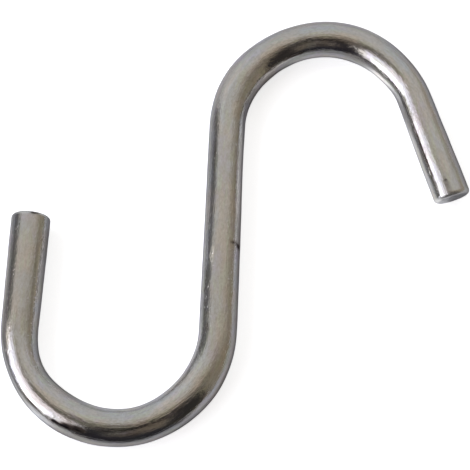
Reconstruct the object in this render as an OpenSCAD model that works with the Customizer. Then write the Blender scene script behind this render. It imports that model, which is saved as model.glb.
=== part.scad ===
// S hook bent from one length of round wire.
// It lies flat: the wire's centreline is in one level plane, +Y runs along the shank to the
// upper crook, and the upper crook opens to +X. The origin is under the middle of the hook's
// bounding box, on the surface that the wire lies on.

/* [Wire] */
// Diameter of the straight wire
wire_d = 6; // [4:0.5:9]
// How much thinner the wire is in its bends, where forming has stretched it
thinning = 0.08; // [0.08:0.02:0.24]
// Length over which a straight tapers to the bend that it meets
taper = 0.4; // [0.2:0.1:0.5]

/* [Shank] */
// Length of the straight shank, between its two bends
shank_len = 35.4; // [20:0.2:60]

/* [Upper crook] */
// Inside diameter of the upper crook, which goes over the rail
upper_inner_d = 26; // [18:0.5:40]
// Angle that the upper crook is bent through
upper_bend = 160; // [120:1:185]
// Straight length of the upper arm, from its bend to its cut end
upper_arm = 18.4; // [8:0.2:26]

/* [Lower crook] */
// Inside diameter of the lower crook, which carries the load
lower_inner_d = 26; // [18:0.5:40]
// Angle that the lower crook is bent through
lower_bend = 181; // [120:1:185]
// Straight length of the lower arm, from its bend to its cut end
lower_arm = 18.4; // [8:0.2:26]

/* [Cut ends] */
// Radius that tumbling leaves on the rim of each cut end
end_round = 0.4; // [0.1:0.1:1]

/* [Hidden] */
$fn = 48;

wire_r = wire_d / 2;
bent_r = (wire_d - thinning) / 2;
// Length by which a straight and a bend run into each other at their joint
lap = 0.4;
// Radius of a taper at its far end, which the lap sinks into the bend
root_r = bent_r - (wire_r - bent_r) * lap / taper;

// Radius of a bend at the wire's centreline
function bend_r(inner_d) = (inner_d + wire_d) / 2;

// Distance from the shank's centreline to the arm's, a given way along the arm
function arm_offset(inner_d, angle, along) = bend_r(inner_d) * (1 - cos(angle)) + along * sin(angle);

// How far one crook reaches to its side of the shank's centreline. Bent through less than half
// a turn, it flares, and the rim of its cut end reaches furthest. Bent further, it closes, and
// the bend or the root of the arm does.
function side_reach(inner_d, angle, arm) = max(
    arm_offset(inner_d, angle, arm - end_round) + (wire_r - end_round) * abs(cos(angle)) + end_round,
    arm_offset(inner_d, angle, taper) + wire_r * abs(cos(angle)),
    angle < 180 ? 0 : 2 * bend_r(inner_d) + bent_r
);

// How far one crook reaches beyond the end of the shank
function end_reach(inner_d) = bend_r(inner_d) + bent_r;

// Middle of the bounding box, from the middle of the shank
middle_x = (side_reach(upper_inner_d, upper_bend, upper_arm)
    - side_reach(lower_inner_d, lower_bend, lower_arm)) / 2;
middle_y = (end_reach(upper_inner_d) - end_reach(lower_inner_d)) / 2;

// Turns a half section, drawn with its axis along Y, into round wire along +Y
module wire_from_section() {
    rotate([-90, 0, 0])
        rotate_extrude()
            children();
}

// Half section of the shank, with a tapered root in the bend at each end
module shank_section() {
    polygon([
        [0, -lap],
        [root_r, -lap],
        [wire_r, taper],
        [wire_r, shank_len - taper],
        [root_r, shank_len + lap],
        [0, shank_len + lap]
    ]);
}

// Half section of an arm, with a tapered root in its bend and a rounded rim at its cut end
module arm_section(length) {
    rim = [wire_r - end_round, length - end_round];
    polygon([
        [0, -lap],
        [root_r, -lap],
        [wire_r, taper],
        [wire_r, rim.y],
        [rim.x, length],
        [0, length]
    ]);
    translate(rim)
        circle(r = end_round);
}

// Bend round the origin that starts at -X, where the wire heads to +Y, and turns to +X
module bend(r, angle) {
    lap_angle = lap / r * 180 / PI;
    rotate_extrude(start = 180 + lap_angle, angle = -angle - 2 * lap_angle)
        translate([r, 0])
            circle(r = bent_r);
}

// Bend that follows a straight ending at the origin, and its arm
module crook(inner_d, angle, arm_len) {
    r = bend_r(inner_d);
    translate([r, 0, 0]) {
        bend(r, angle);
        rotate([0, 0, -angle])
            translate([-r, 0, 0])
                wire_from_section()
                    arm_section(arm_len);
    }
}

module hook() {
    color("silver")
        translate([-middle_x, -middle_y, wire_r]) {
            translate([0, -shank_len / 2, 0])
                wire_from_section()
                    shank_section();
            translate([0, shank_len / 2, 0])
                crook(upper_inner_d, upper_bend, upper_arm);
            rotate([0, 0, 180])
                translate([0, shank_len / 2, 0])
                    crook(lower_inner_d, lower_bend, lower_arm);
        }
}

hook();
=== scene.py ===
"""Looks of an S hook bent from one length of round wire, with a bright plating.

The wire is one surface swept along the bent centreline, with the marks that the bending
tools leave on it. It lies flat on a pale floor inside a light tent. Everything is in metres,
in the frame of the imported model: the hook lies on z = 0 and its shank runs along +Y.
"""

import bpy
import numpy as np
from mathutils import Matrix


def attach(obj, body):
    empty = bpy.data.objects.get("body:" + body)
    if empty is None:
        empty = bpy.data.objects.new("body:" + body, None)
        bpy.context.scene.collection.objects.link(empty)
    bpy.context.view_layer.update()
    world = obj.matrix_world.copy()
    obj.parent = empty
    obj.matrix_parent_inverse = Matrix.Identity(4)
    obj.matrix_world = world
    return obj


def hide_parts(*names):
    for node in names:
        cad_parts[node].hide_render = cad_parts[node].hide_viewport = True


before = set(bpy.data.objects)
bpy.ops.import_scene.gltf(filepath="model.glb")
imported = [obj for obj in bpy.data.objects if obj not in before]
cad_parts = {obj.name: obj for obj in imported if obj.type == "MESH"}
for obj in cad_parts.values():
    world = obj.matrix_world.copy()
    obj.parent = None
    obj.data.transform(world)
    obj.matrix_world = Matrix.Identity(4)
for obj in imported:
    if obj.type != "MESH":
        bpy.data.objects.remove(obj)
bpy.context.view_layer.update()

MM = 0.001

# Driving sizes of the hook, as in the part's source, in millimetres and degrees.
WIRE_RADIUS = 3.0
BENT_RADIUS = 2.96
THINNING_REACH = 7.0
BEND_RADIUS = 16.0
SHANK_LENGTH = 35.4
ARM_LENGTH = 18.4
UPPER_BEND = np.radians(160.0)
LOWER_BEND = np.radians(181.0)
SHANK_X = -2.522

HALF_SHANK = SHANK_LENGTH / 2
UPPER_TIP = HALF_SHANK + BEND_RADIUS * UPPER_BEND + ARM_LENGTH
LOWER_TIP = -(HALF_SHANK + BEND_RADIUS * LOWER_BEND + ARM_LENGTH)

# The cuts in detail, at the lower and the upper tip: change of length, rounding of the rim, and
# two slants of the cut. The first carries the top of the wire past its bottom, the second its
# left side past its right side, left being that of the run. In millimetres and degrees.
LOWER_CUT = (0.16, 0.65, 1.9, -1.3)
UPPER_CUT = (0.17, 0.80, 8.0, 0.5)

# What forming leaves on the wire. A place is measured along the wire from the middle of the
# shank, up the shank being positive; a reach is how far the mark fades on its lower-tip side
# and on its upper-tip side, in millimetres.
# Change of width in the plane of the hook, as a share of the width: (place, share, reach, reach)
WIDTH_MARKS = (
    (-88.0, 0.078, 8.0, 11.0),
    (-60.6, -0.062, 3.0, 3.2),
    (-50.8, 0.034, 3.2, 5.5),
    (-26.3, 0.060, 6.0, 4.6),
    (-15.0, 0.018, 6.0, 8.0),
    (11.5, -0.020, 7.0, 4.5),
    (28.0, 0.062, 5.0, 5.5),
    (38.0, 0.010, 4.0, 5.0),
    (47.5, 0.026, 4.0, 3.0),
    (60.6, -0.060, 3.6, 9.0),
    (74.0, 0.016, 8.0, 7.0),
)
# Sideways shift of the centreline, to the left of its run, in millimetres:
# (place, shift, reach, reach)
SHIFT_MARKS = (
    (-60.5, -0.098, 2.8, 3.2),
    (-51.0, 0.114, 2.8, 4.2),
    (-38.8, -0.069, 2.6, 2.8),
    (-31.0, 0.065, 3.0, 4.0),
    (-22.3, 0.057, 2.6, 2.4),
    (11.0, 0.045, 5.0, 5.0),
    (18.5, -0.035, 3.4, 3.4),
    (31.6, -0.110, 3.4, 4.6),
    (44.2, 0.150, 3.8, 4.6),
    (56.2, -0.134, 3.0, 2.6),
    (70.0, -0.042, 5.0, 7.0),
)
# Small dents: (place along, angle from the top towards the left of the run, half length along,
# half length around, depth), in millimetres and degrees.
DENTS = (
    (-3.35, -48.0, 0.20, 0.75, 0.050),
    (-3.70, -75.0, 0.35, 0.75, 0.080),
    (78.36, -11.0, 0.18, 0.20, 0.040),
    (76.4, -47.0, 0.40, 0.25, 0.020),
)
# Stains and painted reflections, in the same terms, the last number being how dark they are:
# brown up to 1, black at 2. Below nothing, the plating is painted lighter. The first three are
# stains on dents, and the fourth browns the tip round the last of them. The others darken or
# lighten the metal along the wire where its reflections are darker or lighter: painted shade
# above nothing, such as the four from -51.15 to -47.6 that end the bright streak of the lower
# bend, and painted highlight below nothing.
STAINS_AND_PAINTED_REFLECTIONS = (
    (-3.35, -48.0, 0.30, 0.85, 0.7),
    (-3.70, -75.0, 0.50, 0.85, 1.0),
    (78.36, -11.0, 0.20, 0.25, 0.6),
    (79.3, -11.0, 1.10, 0.50, 0.35),
    (-86.42, 20.0, 0.20, 0.85, 1.2),
    (72.5, -46.0, 6.5, 0.17, 1.6),
    (36.0, -57.5, 7.0, 0.26, 1.0),
    (-51.15, -43.0, 0.35, 0.26, 2.0),
    (-50.0, -43.5, 1.4, 0.20, 1.7),
    (-49.4, -38.0, 0.7, 0.35, 1.7),
    (-47.6, -34.0, 1.3, 0.45, 1.9),
    (-55.3, -45.5, 2.8, 0.22, 1.2),
    (21.0, -61.0, 4.5, 0.45, 0.5),
    (8.0, -43.0, 10.0, 0.30, 0.25),
    (10.8, 31.5, 4.6, 0.26, 0.7),
    (-9.4, 33.0, 0.8, 0.28, 0.45),
    (-12.6, 32.0, 0.8, 0.26, 0.5),
    (-15.1, 32.0, 0.7, 0.28, 0.6),
    (-17.7, 31.0, 0.9, 0.40, 0.9),
    (-77.0, -33.0, 7.0, 0.42, 0.3),
    (-77.0, 39.0, 7.0, 0.25, 0.25),
    (-77.0, 50.0, 7.0, 0.22, -0.4),
    (-77.0, -57.0, 7.0, 0.30, -0.25),
    (-5.2, 27.0, 1.7, 0.34, -1.1),
    (4.0, -60.0, 4.0, 0.42, -0.6),
    (9.2, -60.0, 4.0, 0.42, -0.6),
    (14.0, -60.0, 3.6, 0.42, -0.6),
    (-66.4, -29.0, 2.2, 0.40, -1.0),
    (49.4, -45.0, 1.3, 0.80, -1.0),
    (66.0, -79.0, 6.0, 0.55, -0.4),
)
# Waviness that drawing and bending leave: how many waves, their lengths along, the most turns
# they make around the wire, their height for each millimetre of length, and the seed of their
# draws.
WAVES = 60
WAVE_LENGTHS = (1.8, 7.0)
MOST_TURNS = 9
WAVE_HEIGHT = 0.00018
WAVE_SEED = 11

# The grid of the wire: millimetres between stations, the least that is kept between two, the
# steps over a rim and over a cut face, and the points around. Close stations reach this many
# half lengths of a dent to either side of it, and there are this many to a half length.
STATION_STEP = 0.3
LEAST_STEP = 0.02
RIM_STEPS = 11
FACE_STEPS = 15
AROUND = 144
DENT_REACH = 3
DENT_STATIONS = 3
# How far from a tip the section leans with the slant of its cut, in millimetres.
LEAN_REACH = 6
# Shares of the rim's turn: from where it counts as cut face, and where it counts as rim in full.
FACE_FROM = 0.9
RIM_FULL_AT = 0.4


def sum_of_marks(along, marks):
    """Sum of bell curves, each with its own height and its own reach on either side."""
    total = np.zeros_like(along)
    for place, amount, reach_before, reach_after in marks:
        reach = np.where(along < place, reach_before, reach_after)
        total += amount * np.exp(-0.5 * ((along - place) / reach) ** 2)
    return total


def centreline(along):
    """Point and left-hand normal of the centreline, in the plane of the hook.

    Between the bends it is the straight shank. Past them, the turned angle grows with the
    distance over the bend radius until the bend is done, and the straight arm follows on the
    last heading.
    """
    past_shank = np.abs(along) - HALF_SHANK
    side = np.where(along >= 0, 1.0, -1.0)
    bend = np.where(along >= 0, UPPER_BEND, LOWER_BEND)
    turned = np.clip(past_shank / BEND_RADIUS, 0.0, bend)
    on_arm = np.clip(past_shank - BEND_RADIUS * bend, 0.0, None)
    x = BEND_RADIUS * (1 - np.cos(turned)) + on_arm * np.sin(turned)
    y = (np.minimum(np.abs(along), HALF_SHANK) + BEND_RADIUS * np.sin(turned)
         + on_arm * np.cos(turned))
    heading_x = np.sin(turned)
    heading_y = np.cos(turned)
    return side * x, side * y, -heading_y, heading_x


def wire_radius(along):
    """Full radius on the straights, the thinner one in the bends, and a smooth rise between.

    The share of thinning is 3t^2 - 2t^3, where t runs from 0 to 1 across the change.
    """
    past_shank = np.abs(along) - HALF_SHANK
    bend = BEND_RADIUS * np.where(along >= 0, UPPER_BEND, LOWER_BEND)
    into_bend = np.minimum(past_shank, bend - past_shank)
    t = np.clip(into_bend / THINNING_REACH + 0.5, 0.0, 1.0)
    return WIRE_RADIUS - (WIRE_RADIUS - BENT_RADIUS) * t * t * (3 - 2 * t)


def waviness(along, angle):
    """Radial height of the slow unevenness: a sum of sine waves with a fixed seed.

    Each wave has its own length along the wire and its own whole number of turns around it, so
    that it closes, and its height is in proportion to its length.
    """
    pick = np.random.default_rng(WAVE_SEED)
    height = np.zeros(np.broadcast(along, angle).shape)
    for _ in range(WAVES):
        length = pick.uniform(*WAVE_LENGTHS)
        turns = pick.integers(-MOST_TURNS, MOST_TURNS + 1)
        start = pick.uniform(0, 2 * np.pi)
        height += WAVE_HEIGHT * length * np.sin(2 * np.pi * along / length + turns * angle + start)
    return height


def spots(along, angle, places):
    """Sum of flat bell curves, each of its own distance along the wire and around it."""
    total = np.zeros(np.broadcast(along, angle).shape)
    for place, middle, reach_along, reach_around, amount in places:
        turn = (angle - np.radians(middle) + np.pi) % (2 * np.pi) - np.pi
        out = ((along - place) / reach_along) ** 2 + (turn * WIRE_RADIUS / reach_around) ** 4
        total += amount * np.exp(-out)
    return total


def stations():
    """Places along the wire, from one cut face to the other, with two numbers for each.

    The first is the share of the full radius, the second how far the rim has turned, from 0 on
    the side to 1 on the face.

    The side of the wire has full radius, and its stations stand closer together at each dent.
    The rim turns a quarter circle of the end rounding, and the face runs from the rim to just
    short of its middle.
    """
    first = LOWER_TIP - LOWER_CUT[0] + LOWER_CUT[1]
    last = UPPER_TIP + UPPER_CUT[0] - UPPER_CUT[1]
    close = [np.arange(place - DENT_REACH * reach, place + DENT_REACH * reach, reach / DENT_STATIONS)
             for place, _, reach, _, _ in DENTS]
    even = [np.arange(first, last, STATION_STEP), [last]]
    side = np.unique(np.concatenate(even + close).round(4))
    side = side[(side >= first) & (side <= last)]
    side = side[np.append(True, np.diff(side) > LEAST_STEP)]
    turn = np.linspace(0, np.pi / 2, RIM_STEPS)[1:]
    ends = []
    for _, rounding, _, _ in (LOWER_CUT, UPPER_CUT):
        rim_share = 1 - rounding / WIRE_RADIUS * (1 - np.cos(turn))
        face_share = np.linspace(rim_share[-1], 0, FACE_STEPS)[1:-1]
        out = np.concatenate([rounding * np.sin(turn), np.full(len(face_share), rounding)])
        on_rim = np.concatenate([np.sin(turn), np.ones(len(face_share))])
        ends.append((out, np.concatenate([rim_share, face_share]), on_rim))
    (lower_out, lower_share, lower_rim), (upper_out, upper_share, upper_rim) = ends
    along = np.concatenate([side[0] - lower_out[::-1], side, side[-1] + upper_out])
    share = np.concatenate([lower_share[::-1], np.ones(len(side)), upper_share])
    turned = np.concatenate([lower_rim[::-1], np.zeros(len(side)), upper_rim])
    return along, share, turned


def hook_surface():
    """The swept wire as a closed grid: stations along it times points around it.

    A point is the centreline, shifted by the forming marks, plus the section: an ellipse as
    thick as the wire and a little wider or narrower in the plane of the hook. Towards the tips
    the section leans with the slant of the cuts.
    """
    along, share, turned = stations()
    angle = np.linspace(0, 2 * np.pi, AROUND, endpoint=False)
    lean = np.zeros((len(along), AROUND))
    for tip, way, cut in ((LOWER_TIP, -1, LOWER_CUT), (UPPER_TIP, 1, UPPER_CUT)):
        near_tip = np.clip(1 + way * (along - tip) / LEAN_REACH, 0, 1)[:, None] ** 2
        top, left = np.tan(np.radians(cut[2:]))
        slant = top * np.cos(angle) + left * np.sin(angle)
        lean += way * WIRE_RADIUS * share[:, None] * near_tip * slant
    x, y, normal_x, normal_y = centreline(along[:, None] + lean)
    uneven = waviness(along[:, None], angle) - spots(along[:, None], angle, DENTS)
    radius = wire_radius(along)[:, None] + uneven
    width = radius * (1 + sum_of_marks(along, WIDTH_MARKS))[:, None]
    shift = sum_of_marks(along, SHIFT_MARKS)
    across = shift[:, None] + share[:, None] * width * np.sin(angle)
    height = share[:, None] * radius * np.cos(angle)
    points = np.stack([
        SHANK_X + x + normal_x * across,
        y + normal_y * across,
        WIRE_RADIUS + height,
    ], axis=-1)
    straight = np.stack([
        share[:, None] * WIRE_RADIUS * np.sin(angle),
        np.broadcast_to(along[:, None], height.shape),
        share[:, None] * WIRE_RADIUS * np.cos(angle),
    ], axis=-1)
    on_face = np.clip((turned - FACE_FROM) / (1 - FACE_FROM), 0, 1)[:, None]
    face = np.broadcast_to(on_face, height.shape)
    rim = np.broadcast_to(np.clip(turned / RIM_FULL_AT, 0, 1)[:, None], height.shape) * (1 - face)
    # Stains on dents, and painted shade and painted highlight that stand in for reflections.
    stain_and_painted_reflection = spots(along[:, None], angle, STAINS_AND_PAINTED_REFLECTIONS)
    return points, straight, face, rim, stain_and_painted_reflection


def grid_mesh(name, points):
    """Mesh of a grid that is closed around, with a fan to a middle point at each end."""
    rows, columns = points.shape[:2]
    ends = np.stack([points[0].mean(axis=0), points[-1].mean(axis=0)])
    vertices = np.concatenate([points.reshape(-1, 3), ends]) * MM
    index = np.arange(rows * columns).reshape(rows, columns)
    after = np.roll(index, -1, axis=1)
    quads = np.stack([index[:-1], after[:-1], after[1:], index[1:]], axis=-1).reshape(-1, 4)
    first = np.stack([np.full(columns, rows * columns), after[0], index[0]], axis=-1)
    last = np.stack([np.full(columns, rows * columns + 1), index[-1], after[-1]], axis=-1)
    mesh = bpy.data.meshes.new(name)
    mesh.from_pydata(vertices.tolist(), [], quads.tolist() + first.tolist() + last.tolist())
    mesh.polygons.foreach_set("use_smooth", np.ones(len(mesh.polygons), dtype=bool))
    mesh.update()
    return mesh


def add_attribute(mesh, name, kind, values):
    """Stores a value per point, with the two end points taking the mean of their rings."""
    flat = values.reshape(values.shape[0] * values.shape[1], -1)
    ends = np.stack([values[0].reshape(values.shape[1], -1).mean(axis=0),
                     values[-1].reshape(values.shape[1], -1).mean(axis=0)])
    data = np.concatenate([flat, ends]).astype(np.float32)
    layer = mesh.attributes.new(name, kind, "POINT")
    layer.data.foreach_set("vector" if kind == "FLOAT_VECTOR" else "value", data.ravel())


class Value:
    """One number socket of a node tree, so that shader maths reads as Python expressions."""

    def __init__(self, nodes, socket):
        self.nodes = nodes
        self.socket = socket

    def maths(self, operation, *others):
        return self.nodes.add("ShaderNodeMath", {"operation": operation}, {
            place: value for place, value in enumerate((self,) + others)})

    def __add__(self, other):
        return self.maths("ADD", other)

    __radd__ = __add__

    def __mul__(self, other):
        return self.maths("MULTIPLY", other)

    __rmul__ = __mul__

    def __sub__(self, other):
        return self.maths("SUBTRACT", other)

    def __rsub__(self, other):
        return (self * -1.0) + other

    def __truediv__(self, other):
        return self.maths("DIVIDE", other)

    def __pow__(self, other):
        return self.maths("POWER", other)

    def clamped(self):
        return self.maths("MAXIMUM", 0.0).maths("MINIMUM", 1.0)


class Nodes:
    """A node tree that is built one call per node."""

    def __init__(self, tree):
        self.tree = tree
        tree.nodes.clear()

    def add(self, kind, settings, inputs, output=0):
        """Adds a node, sets its settings first and then its sockets, and gives one output."""
        node = self.tree.nodes.new(kind)
        for name, value in settings.items():
            setattr(node, name, value)
        for name, value in inputs.items():
            if isinstance(value, Value):
                self.tree.links.new(value.socket, node.inputs[name])
            else:
                node.inputs[name].default_value = value
        if not node.outputs:
            return node
        return Value(self, node.outputs[output])

    def mix_colours(self, share, first, second):
        settings = {"data_type": "RGBA", "clamp_factor": True}
        return self.add("ShaderNodeMix", settings, {0: share, 6: first, 7: second}, 2)

    def smooth_step(self, value, low, high):
        """0 below low, 1 above high, and a smooth rise between."""
        return self.add("ShaderNodeMapRange", {"interpolation_type": "SMOOTHSTEP", "clamp": True},
                        {"Value": value, "From Min": low, "From Max": high})


# Tint of the metal's mirror at its edges, where 1 is plain metal.
EDGE_TINT = (0.395, 0.397, 0.422, 1.0)


def plating():
    """Bright plating over drawn wire: slow tints, dull clouds, draw lines and fine grain.

    Pits and mottling are on the sides of the straights. Stains turn the plating brown and then
    black, or make it lighter: besides the stains on dents, these are painted shade and painted
    highlight that stand in for reflections. The cut faces are bare sheared steel: darker,
    rougher, with the strokes of the shear. A noise takes its changes for each millimetre along
    the wire and around it, and its detail.
    """
    material = bpy.data.materials.new("bright_plating")
    material.use_nodes = True
    n = Nodes(material.node_tree)
    place = n.add("ShaderNodeAttribute", {"attribute_name": "wire_place"}, {}, 1)
    face = n.add("ShaderNodeAttribute", {"attribute_name": "cut_face"}, {}, 2)
    rim = n.add("ShaderNodeAttribute", {"attribute_name": "rim"}, {}, 2)
    stain_and_painted_reflection = n.add("ShaderNodeAttribute", {"attribute_name": "stain_and_painted_reflection"}, {}, 2)

    def noise(along, around, detail, turn=0.0):
        stretched = n.add("ShaderNodeMapping", {}, {
            "Vector": place, "Rotation": (0.0, turn, 0.0), "Scale": (around, along, around)})
        return n.add("ShaderNodeTexNoise", {}, {"Vector": stretched, "Scale": 1.0, "Detail": detail})

    warm = (0.465, 0.43, 0.405, 1.0)
    cool = (0.425, 0.435, 0.45, 1.0)
    lilac = (0.44, 0.415, 0.47, 1.0)
    olive = (0.435, 0.455, 0.40, 1.0)
    dull = (0.345, 0.33, 0.31, 1.0)
    brown = (0.078, 0.064, 0.056, 1.0)
    black = (0.012, 0.011, 0.012, 1.0)
    worn = (0.50, 0.50, 0.49, 1.0)
    rubbed_and_painted_highlight = (0.70, 0.68, 0.65, 1.0)
    steel = (0.33, 0.33, 0.33, 1.0)
    bright_steel = (0.52, 0.52, 0.51, 1.0)
    colour = n.mix_colours(n.smooth_step(noise(0.16, 0.4, 3.0), 0.38, 0.62), warm, cool)
    colour = n.mix_colours(n.smooth_step(noise(0.3, 0.5, 3.0), 0.5, 0.68) * 0.7, colour, lilac)
    colour = n.mix_colours(n.smooth_step(noise(0.25, 1.3, 2.0), 0.5, 0.66) * 0.8, colour, olive)
    blotch = n.smooth_step(noise(0.9, 1.3, 4.0), 0.25, 0.75)
    cloud = n.smooth_step(noise(0.55, 2.2, 4.0), 0.3, 0.7)
    speckle = n.smooth_step(noise(1.8, 3.6, 3.0), 0.38, 0.66)
    colour = n.mix_colours(0.30 * cloud + 0.36 * speckle, colour, dull)
    # Painted highlight: below nothing, the mark lightens the plating in place of a bright
    # reflection.
    colour = n.mix_colours((stain_and_painted_reflection * -1.0).clamped() * (0.7 + 0.6 * blotch), colour, rubbed_and_painted_highlight)
    # Painted shade: above nothing, the mark browns and then blackens the plating, as stains on dents
    # and elsewhere in place of dark reflections.
    stain_and_painted_shade = (stain_and_painted_reflection * (0.6 + 0.8 * blotch)).clamped()
    colour = n.mix_colours(stain_and_painted_shade, colour, brown)
    colour = n.mix_colours((stain_and_painted_reflection * (0.75 + 0.5 * blotch) - 1.0).clamped(), colour, black)
    across = n.add("ShaderNodeMapping", {"vector_type": "TEXTURE"}, {
        "Vector": place, "Rotation": (0.0, 0.9, 0.0), "Scale": (0.30, 1.0, 2.4)})
    shear = n.add("ShaderNodeTexNoise", {}, {"Vector": across, "Scale": 1.0})
    strokes = n.smooth_step(shear, 0.45, 0.62)
    colour = n.mix_colours(rim * (1.0 - stain_and_painted_shade), colour, worn)
    colour = n.mix_colours(face, colour, n.mix_colours(strokes, steel, bright_steel))

    lines = noise(0.05, 4.0, 3.0)
    grain = noise(1.1, 4.6, 4.0)
    streaks = noise(0.35, 3.0, 3.0)
    mottle = noise(1.0, 2.8, 4.0)
    cells = n.add("ShaderNodeMapping", {}, {"Vector": place, "Scale": (2.4, 1.2, 2.4)})
    dots = n.add("ShaderNodeTexVoronoi", {}, {"Vector": cells, "Scale": 1.0})
    pits = n.smooth_step(dots, 0.34, 0.10)
    pits = pits * n.smooth_step(noise(0.4, 0.7, 2.0), 0.42, 0.58)
    sideways, run = (n.add("ShaderNodeSeparateXYZ", {}, {0: place}, k) for k in (0, 1))
    on_sides = n.smooth_step(sideways.maths("ABSOLUTE"), 0.6, 1.5)
    on_straights = (n.smooth_step(run, -42.0, -58.0)
                    + n.smooth_step(run, -32.0, -12.0) * n.smooth_step(run, 34.0, 12.0))
    pits = pits * (0.2 + 0.8 * on_sides) * on_straights
    roughness = 0.05 + 0.05 * blotch + 0.25 * stain_and_painted_shade + 0.25 * face + 0.28 * rim
    relief = 0.012 * lines + 0.030 * grain + 0.020 * streaks - 0.020 * pits
    relief = relief + 0.02 * (face * strokes)
    relief = relief + 0.032 * (mottle * on_sides * on_straights)
    bump = n.add("ShaderNodeBump", {}, {"Strength": 1.0, "Distance": MM, "Height": relief})
    shader = n.add("ShaderNodeBsdfPrincipled", {}, {
        "Base Color": colour, "Metallic": 1.0, "Roughness": roughness, "Normal": bump,
        "Specular Tint": EDGE_TINT})
    n.add("ShaderNodeOutputMaterial", {}, {"Surface": shader})
    return material


def make_hook():
    """The swept wire, standing for the whole CAD node."""
    points, straight, face, rim, stain_and_painted_reflection = hook_surface()
    mesh = grid_mesh("hook_wire", points)
    add_attribute(mesh, "wire_place", "FLOAT_VECTOR", straight)
    add_attribute(mesh, "cut_face", "FLOAT", face)
    add_attribute(mesh, "rim", "FLOAT", rim)
    add_attribute(mesh, "stain_and_painted_reflection", "FLOAT", stain_and_painted_reflection)
    mesh.materials.append(plating())
    wire = bpy.data.objects.new("hook_wire", mesh)
    bpy.context.scene.collection.objects.link(wire)
    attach(wire, "root")
    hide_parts("hook")


# The tent: what is around the hook, as soft patches on a dome. Bearings are degrees from +X
# towards +Y, heights are degrees above the floor.
TENT_RADIUS = 2.5
CEILING = (0.58, 0.505, 0.415, 1.0)
WINDOW = (5.8, 5.7, 6.3, 1.0)
WINDOW_TOP = (1.76, 1.71, 1.83, 1.0)
# (bearing, half width, height, half height, softness, lean, flare, colour), later patches over
# earlier ones. The lean shifts the bearing for each degree of height, the flare widens the
# patch by that share for each degree of height.
PATCHES = (
    (93.0, 88.0, 38.5, 43.5, 0.47, 0.16, -0.010, (0.885, 0.845, 0.770, 1.0)),
    (97.0, 52.0, 18.0, 38.0, 0.40, 0.0, 0.0, (0.825, 0.85, 0.86, 1.0)),
    (331.5, 59.0, 31.5, 34.5, 0.62, -0.54, -0.008, (0.402, 0.348, 0.262, 1.0)),
    (199.0, 42.5, 71.5, 10.0, 0.70, -0.70, 0.020, (0.26, 0.24, 0.215, 1.0)),
    (285.5, 64.0, 67.0, 15.0, 0.62, 0.09, 0.002, (0.185, 0.162, 0.140, 1.0)),
    (273.0, 27.0, 58.0, 13.5, 0.42, -0.13, 0.004, (0.075, 0.060, 0.050, 1.0)),
    (267.5, 39.0, 11.0, 21.5, 0.30, -0.27, -0.003, (0.046, 0.045, 0.052, 1.0)),
    (254.5, 17.5, 29.0, 29.0, 0.36, -0.12, 0.009, (0.050, 0.046, 0.053, 1.0)),
    (316.5, 16.5, 33.0, 32.0, 0.34, 0.10, -0.004, (0.052, 0.047, 0.046, 1.0)),
    (281.0, 23.0, 40.0, 15.0, 0.36, 0.11, -0.003, (0.194, 0.171, 0.152, 1.0)),
    (289.0, 10.0, 46.0, 16.0, 0.42, -0.19, 0.0, (0.239, 0.208, 0.168, 1.0)),
    (277.0, 5.7, 33.0, 9.0, 0.46, 0.05, -0.007, (0.101, 0.083, 0.070, 1.0)),
    (278.5, 23.0, 67.5, 10.0, 0.35, 3.1, 0.0, (0.030, 0.026, 0.025, 1.0)),
    (132.0, 14.0, 38.0, 14.0, 0.60, 0.0, 0.0, (1.02, 1.00, 0.97, 1.0)),
    (263.0, 2.6, 42.5, 2.2, 0.58, 0.27, 0.0, (0.516, 0.471, 0.456, 1.0)),
    (261.0, 1.6, 49.5, 1.5, 0.51, 0.26, 0.0, (0.360, 0.326, 0.298, 1.0)),
    (159.0, 9.5, 10.0, 20.0, 0.50, -0.05, 0.0, (0.230, 0.230, 0.235, 1.0)),
)
WINDOW_PATCH = (198.5, 27.0, 32.0, 27.0, 0.22, -0.15, 0.013)
# Patches over the window: its sill, its dim margin, the dark beside it, and its lower corners.
OVER_WINDOW = (
    (192.0, 44.0, -1.0, 5.5, 0.45, 0.0, 0.0, (0.31, 0.30, 0.35, 1.0)),
    (228.5, 5.0, 30.0, 17.0, 0.35, 0.22, 0.0, (1.62, 1.58, 1.56, 1.0)),
    (248.0, 17.0, 6.0, 20.0, 0.20, 0.05, 0.0, (0.042, 0.038, 0.046, 1.0)),
    (225.5, 10.0, 1.0, 8.0, 0.40, 0.8, 0.0, (0.20, 0.19, 0.22, 1.0)),
    (173.0, 9.0, 1.0, 6.0, 0.45, 0.0, 0.0, (0.22, 0.21, 0.24, 1.0)),
)
WINDOW_FADE = (0.0, 44.0)
# The grid of the dome, and the angle by which it starts below the floor and ends short of the top.
DOME_BEARINGS = 64
DOME_HEIGHTS = 24
DOME_GAP = 0.02


def dome_points():
    """Half sphere, in millimetres: bearing times height, up to just short of the top."""
    bearing = np.linspace(0, 2 * np.pi, DOME_BEARINGS, endpoint=False)
    height = np.linspace(-DOME_GAP, np.pi / 2 - DOME_GAP, DOME_HEIGHTS)[:, None]
    radius = TENT_RADIUS / MM
    return np.stack([radius * np.cos(height) * np.cos(bearing),
                     radius * np.cos(height) * np.sin(bearing),
                     np.broadcast_to(radius * np.sin(height), (DOME_HEIGHTS, DOME_BEARINGS))],
                    axis=-1)


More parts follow.
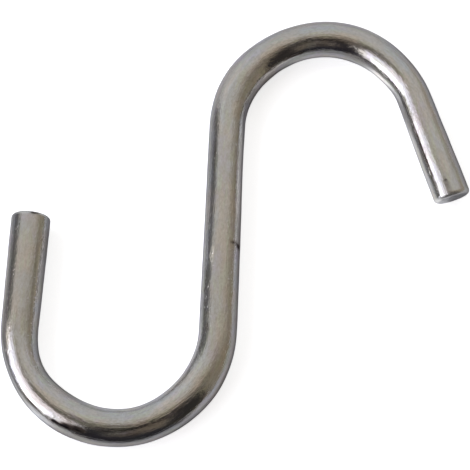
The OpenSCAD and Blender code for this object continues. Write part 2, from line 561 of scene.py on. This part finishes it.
def tent_material():
    """Light of the tent: a pale ceiling, with the patches and the window over it.

    A patch is full inside a rounded box of bearing and height, |turn/half width|^4 +
    |rise/half height|^4 = 1, and fades across that line by its softness.
    """
    material = bpy.data.materials.new("tent")
    material.use_nodes = True
    n = Nodes(material.node_tree)
    place = n.add("ShaderNodeTexCoord", {}, {}, 3)
    way = n.add("ShaderNodeVectorMath", {"operation": "NORMALIZE"}, {0: place})
    parts = [n.add("ShaderNodeSeparateXYZ", {}, {0: way}, k) for k in range(3)]
    height = parts[2].maths("ARCSINE") * float(np.degrees(1))
    bearing = parts[1].maths("ARCTAN2", parts[0]) * float(np.degrees(1))
    window = n.mix_colours(n.smooth_step(height, *WINDOW_FADE), WINDOW, WINDOW_TOP)
    colour = CEILING
    patches = PATCHES + (WINDOW_PATCH + (window,),) + OVER_WINDOW
    for middle, half_width, level, half_height, softness, lean, flare, shade in patches:
        rise = height - level
        turn = (bearing - middle - lean * rise + 900.0).maths("MODULO", 360.0) - 180.0
        spread = (1.0 + flare * rise).maths("MAXIMUM", 0.2) * half_width
        reach = ((turn / spread).maths("ABSOLUTE") ** 4.0
                 + (rise / half_height).maths("ABSOLUTE") ** 4.0) ** 0.25
        inside = n.smooth_step(reach, 1 + softness, 1 - softness)
        colour = n.mix_colours(inside, colour, shade)
    glow = n.add("ShaderNodeEmission", {}, {"Color": colour, "Strength": 1.0})
    n.add("ShaderNodeOutputMaterial", {}, {"Surface": glow})
    return material


# What only the metal sees of the floor: (middle bearing, half width, full at, none at, amount),
# in degrees and millimetres.
# These lobes stand for light thrown back and shade cast by the wire: they are set, not traced.
# Light that the wire throws back, added to the floor's own, by the bearing and the distance of
# the floor from the nearest wire. Where the amount is below nothing, less is added.
THROWN_BACK = (
    (108.0, 62.0, 5.0, 26.0, 0.66),
    (264.0, 44.0, 4.0, 8.0, 0.34),
    (8.0, 36.0, 4.6, 7.0, 0.18),
)
# The same, for the floor left of the middle only: by the lower crook, with one long beam.
THROWN_BACK_LEFT = (
    (199.0, 50.0, 3.0, 15.4, 1.02),
    (210.0, 46.0, 2.0, 8.6, -1.20),
    (228.0, 50.0, 11.0, 20.0, 0.14),
    (226.0, 17.5, 8.0, 100.0, 1.0),
)
# The same, right of the middle: inside the upper crook.
THROWN_BACK_RIGHT = (
    (180.0, 71.5, 2.8, 16.8, 1.38),
    (260.0, 44.0, 16.3, 20.7, 0.18),
)
# Round places on the floor, each after its middle (x, y): where more light falls, inside either
# crook, and where a share of the light that is thrown back is missing, inside the upper one.
BRIGHT_SPOTS = (
    ((20.0, 25.1), (0.0, 210.0, 0.5, 3.0, 1.60)),
    ((-12.0, -18.5), (0.0, 210.0, 1.5, 6.0, 0.30)),
)
DIM_SPOT = ((21.9, 21.2), (0.0, 210.0, 1.7, 6.3, 0.72))
# The share of its own light that the floor keeps back, each after the (x, y) of its middle:
# in front of the hook and to its left, right of the shank, inside the upper crook, between the
# lower arm and the shank, and left of the upper shank.
SHADED = (
    ((0.0, 0.0), (268.0, 35.0, 57.0, 44.0, 0.80)),
    ((0.0, 0.0), (262.0, 54.0, 92.0, 60.0, 0.70)),
    ((0.0, 0.0), (157.0, 28.0, 48.0, 22.0, 0.50)),
    ((0.0, 0.0), (207.0, 30.0, 52.0, 36.0, 0.30)),
    ((0.0, 0.0), (345.0, 62.0, 6.0, 42.0, 0.14)),
    ((20.0, 15.0), (0.0, 210.0, 9.0, 17.0, 0.41)),
    ((-24.0, 0.0), (0.0, 210.0, 4.0, 10.0, 0.30)),
    ((-15.0, 12.0), (0.0, 210.0, 5.0, 13.0, 0.20)),
)
# The same, around the nearest wire.
SHADED_BY_WIRE = (
    (282.0, 40.0, 15.0, 8.0, 0.40),
    (186.0, 34.0, 15.0, 9.0, 0.25),
)
LOBE_EDGE = 24.0
# The floor's grid lines, in millimetres: even ones near the hook, and then wider apart.
NEAR_LINES = np.linspace(-66, 66, 133)
FAR_LINES = np.array([72, 80, 90, 100, 115, 135, 160, 200, 260, 350, 500, 900, 2500])
FLOOR_COLOUR = (0.70, 0.717, 0.765, 1.0)
# The floor's own light, to the camera and to the metal.
SEEN_GLOW = 0.72
MIRRORED_GLOW = 0.05
# Soft lamp: bearing and height in degrees, distance and size in metres, power in watts. The
# metal doesn't mirror it.
LAMP_BEARING = 150.0
LAMP_HEIGHT = 40.0
LAMP_DISTANCE = 1.6
LAMP_SIZE = 0.7
LAMP_POWER = 9.0


def eased(t):
    """3t^2 - 2t^3, with t held between 0 and 1."""
    t = np.clip(t, 0, 1)
    return t * t * (3 - 2 * t)


def lobes(bearing, reach, table):
    """Sum of lobes, each eased over the bearing and over the distance from the wire."""
    total = np.zeros_like(reach)
    for middle, half_width, full_at, none_at, amount in table:
        turn = np.abs((bearing - middle + 180) % 360 - 180)
        by_bearing = eased((half_width - turn) / LOBE_EDGE)
        total += amount * by_bearing * eased((none_at - reach) / (none_at - full_at))
    return total


def spot(x, y, place):
    """A lobe around a point of the floor instead of around the wire."""
    (middle_x, middle_y), lobe = place
    turn = np.degrees(np.arctan2(y - middle_y, x - middle_x))
    return lobes(turn, np.hypot(x - middle_x, y - middle_y), (lobe,))


def floor_surface():
    """Flat square, fine around the hook, with the added and the withheld light of each point.

    The added light is a sum of lobes around the nearest wire, less a share of it at the dim
    spot, and the bright spots. Of its own light the floor keeps what the lobes around the wire
    leave, times what each shaded place leaves.
    """
    line = np.concatenate([-FAR_LINES[::-1], NEAR_LINES, FAR_LINES])
    x, y = np.meshgrid(line, line)
    along = np.linspace(LOWER_TIP, UPPER_TIP, 400)
    wire_x, wire_y = centreline(along)[:2]
    away_x = x[..., None] - wire_x - SHANK_X
    away_y = y[..., None] - wire_y
    distance = np.hypot(away_x, away_y)
    nearest = distance.argmin(axis=-1)[..., None]
    reach = np.take_along_axis(distance, nearest, axis=-1)[..., 0]
    bearing = np.degrees(np.arctan2(np.take_along_axis(away_y, nearest, axis=-1),
                                    np.take_along_axis(away_x, nearest, axis=-1)))[..., 0]
    points = np.stack([x, y, np.zeros_like(x)], axis=-1)
    by_side = np.where(x < 0, lobes(bearing, reach, THROWN_BACK_LEFT),
                       lobes(bearing, reach, THROWN_BACK_RIGHT))
    added = (lobes(bearing, reach, THROWN_BACK) + by_side) * (1 - spot(x, y, DIM_SPOT))
    for place in BRIGHT_SPOTS:
        added = added + spot(x, y, place)
    kept = 1 - lobes(bearing, reach, SHADED_BY_WIRE)
    for place in SHADED:
        kept *= 1 - spot(x, y, place)
    return points, added, 1 - kept


def floor_mesh():
    """The floor's grid as an open mesh, with both lights as attributes."""
    points, added, withheld = floor_surface()
    rows, columns = points.shape[:2]
    index = np.arange(rows * columns).reshape(rows, columns)
    quads = np.stack([index[:-1, :-1], index[:-1, 1:], index[1:, 1:], index[1:, :-1]], axis=-1)
    mesh = bpy.data.meshes.new("floor")
    mesh.from_pydata((points.reshape(-1, 3) * MM).tolist(), [], quads.reshape(-1, 4).tolist())
    for name, values in (("added_light", added), ("withheld_light", withheld)):
        layer = mesh.attributes.new(name, "FLOAT", "POINT")
        layer.data.foreach_set("value", values.astype(np.float32).ravel())
    return mesh


def floor_material():
    """Pale floor that keeps the shadow, and glows more to the camera than to the metal."""
    material = bpy.data.materials.new("floor")
    material.use_nodes = True
    n = Nodes(material.node_tree)
    camera, glossy, clear = (n.add("ShaderNodeLightPath", {}, {}, k) for k in (0, 3, 6))
    added = n.add("ShaderNodeAttribute", {"attribute_name": "added_light"}, {}, 2)
    withheld = n.add("ShaderNodeAttribute", {"attribute_name": "withheld_light"}, {}, 2) * glossy
    pale = n.mix_colours(withheld, FLOOR_COLOUR, (0.0, 0.0, 0.0, 1.0))
    lit = n.add("ShaderNodeBsdfDiffuse", {}, {"Color": pale})
    strength = (SEEN_GLOW * camera + MIRRORED_GLOW * (glossy + clear) * (1.0 - withheld)
                + glossy * added)
    glow = n.add("ShaderNodeEmission", {}, {"Color": (1.0, 1.0, 1.0, 1.0), "Strength": strength})
    both = n.add("ShaderNodeAddShader", {}, {0: lit, 1: glow})
    n.add("ShaderNodeOutputMaterial", {}, {"Surface": both})
    return material


def stage_piece(name, mesh, material):
    """Puts a mesh in the scene as part of the studio, not of the hook."""
    piece = bpy.data.objects.new(name, mesh)
    mesh.materials.append(material)
    bpy.context.scene.collection.objects.link(piece)
    return piece


def make_studio():
    """Floor, tent, soft lamp and plain surroundings."""
    stage_piece("floor", floor_mesh(), floor_material())
    tent = stage_piece("tent", grid_mesh("tent", dome_points()), tent_material())
    tent.visible_camera = False
    bearing, height = np.radians((LAMP_BEARING, LAMP_HEIGHT))
    soft = bpy.data.lights.new("soft_lamp", "AREA")
    soft.size = LAMP_SIZE
    soft.energy = LAMP_POWER
    lamp = bpy.data.objects.new("soft_lamp", soft)
    lamp.location = (LAMP_DISTANCE * np.cos(height) * np.cos(bearing),
                     LAMP_DISTANCE * np.cos(height) * np.sin(bearing),
                     LAMP_DISTANCE * np.sin(height))
    lamp.rotation_euler = (np.pi / 2 - height, 0.0, bearing + np.pi / 2)
    lamp.visible_glossy = False
    bpy.context.scene.collection.objects.link(lamp)
    world = bpy.data.worlds.new("surroundings")
    world.use_nodes = True
    n = Nodes(world.node_tree)
    sky = n.add("ShaderNodeBackground", {}, {"Color": (1.0, 1.0, 1.0, 1.0), "Strength": 1.0})
    n.add("ShaderNodeOutputWorld", {}, {"Surface": sky})
    bpy.context.scene.world = world


# The camera: sensor and lens in millimetres, place in metres, turn in degrees.
SENSOR_WIDTH = 36.0
LENS = 122.553
CAMERA_PLACE = (0.015604, -0.082053, 0.250409)
CAMERA_TURN = (18.171, 2.952, 2.331)


def make_camera():
    """A long lens from high in front, a little to the right."""
    data = bpy.data.cameras.new("camera")
    data.sensor_width = SENSOR_WIDTH
    data.lens = LENS
    camera = bpy.data.objects.new("camera", data)
    camera.location = CAMERA_PLACE
    camera.rotation_euler = np.radians(CAMERA_TURN)
    bpy.context.scene.collection.objects.link(camera)
    bpy.context.scene.camera = camera


make_hook()
make_studio()
make_camera()
bpy.context.scene.view_settings.view_transform = "Standard"
